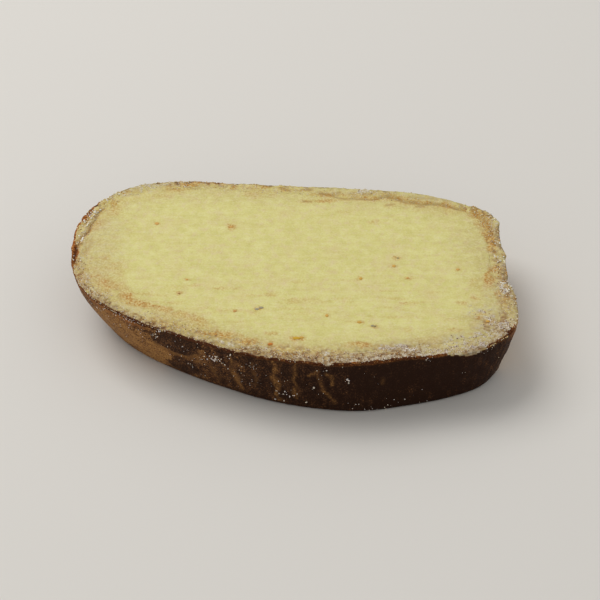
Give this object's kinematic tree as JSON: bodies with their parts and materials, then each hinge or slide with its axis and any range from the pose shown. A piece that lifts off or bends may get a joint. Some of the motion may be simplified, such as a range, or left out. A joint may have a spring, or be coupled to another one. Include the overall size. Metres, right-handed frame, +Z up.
{
  "type": "buttered toast slice",
  "caption": "Thick slice of dark-crusted toast with a flat cut base, leaning crust wall, torn end, sugared lip and a butter spread.",
  "frame": {"origin": "on the surface the slice rests on, under the middle of its box", "axes": "+X along the slice towards the torn end, +Y from the dark domed crust to the base crust, +Z up through the buttered face"},
  "size_m": [0.1554, 0.0978, 0.0249],
  "materials": {
    "bread": "baked crust and toasted crumb, dark and slightly glossy on the domed side, pale and rough on the lip",
    "butter": "soft pale yellow butter, nearly matt, with faint knife marks"
  },
  "bodies": {
    "root": {"bread_slice": "bread", "butter_spread": "butter"}
  },
  "joints": []
}
